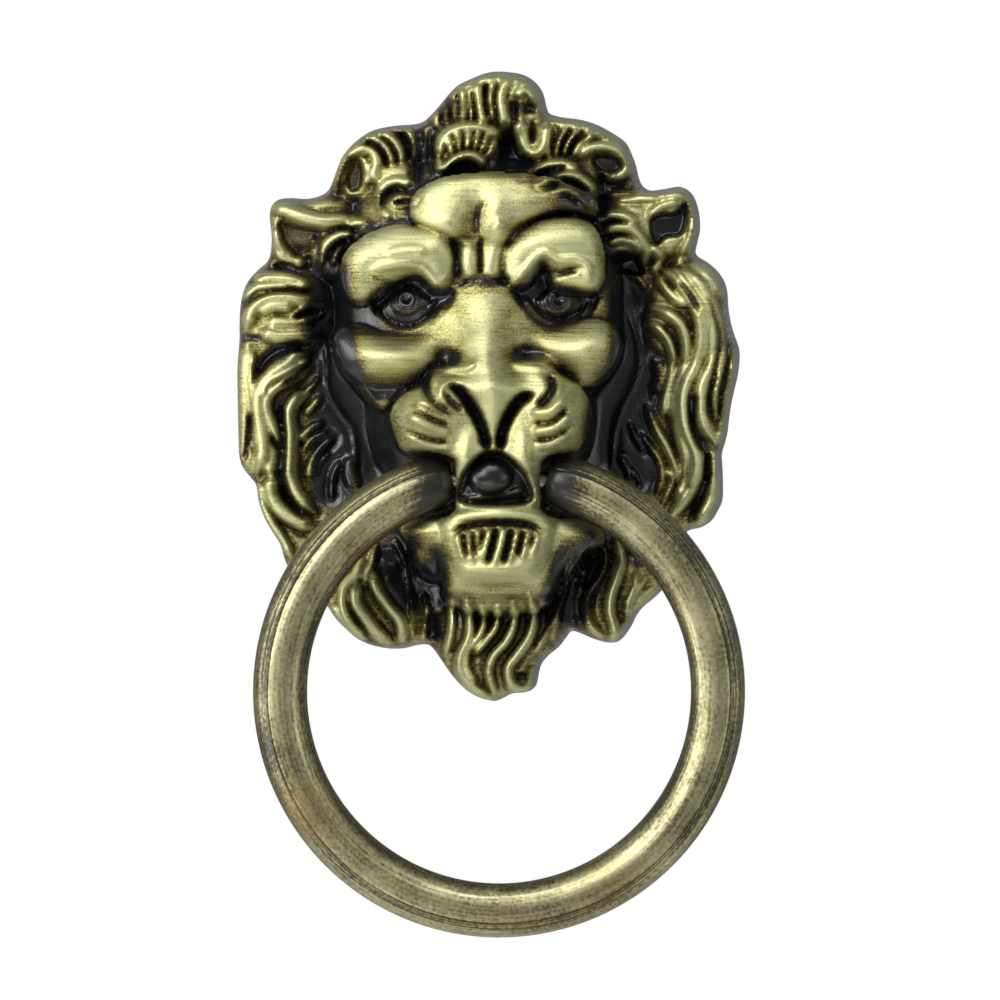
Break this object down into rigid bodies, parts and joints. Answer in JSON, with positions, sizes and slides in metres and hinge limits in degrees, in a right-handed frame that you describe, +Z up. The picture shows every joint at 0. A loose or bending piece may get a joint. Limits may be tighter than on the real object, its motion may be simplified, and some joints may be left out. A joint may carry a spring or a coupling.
{
  "type": "door knocker",
  "caption": "Lion-head door knocker: cast mask with a ring that swings from the mouth on a hidden pin, clamped through a door by threaded studs with washers and cap nuts.",
  "frame": {"origin": "on the door's face, midway between the two fixing studs, in the ring's own middle plane", "axes": "+Z up the door, +Y into the door, -Y out towards the visitor, +X to the visitor's right"},
  "size_m": [0.0535, 0.0508, 0.0911],
  "materials": {
    "mask_bronze": "antique bronze plate, brushed bright on the high forms and left near-black in the recesses, clear lacquered",
    "ring_bronze": "antique bronze plate brushed lengthwise, with fine turned lines near its outer edge, clear lacquered",
    "pin_steel": "ground bright steel",
    "zinc_steel": "bright zinc plated"
  },
  "bodies": {
    "mask": {"lion_mask": "mask_bronze", "pivot_pin": "pin_steel", "upper_stud": "zinc_steel", "upper_washer": "zinc_steel", "upper_lock_washer": "zinc_steel", "upper_cap_nut": "zinc_steel", "lower_stud": "zinc_steel", "lower_washer": "zinc_steel", "lower_lock_washer": "zinc_steel", "lower_cap_nut": "zinc_steel"},
    "ring": {"pull_ring": "ring_bronze"}
  },
  "joints": [
    {"name": "ring_swing", "type": "hinge", "parent": "mask", "child": "ring", "pos_m": [0, -0.0126, -0.01], "axis": [-1, 0, 0], "range_deg": [-11, 92]}
  ]
}
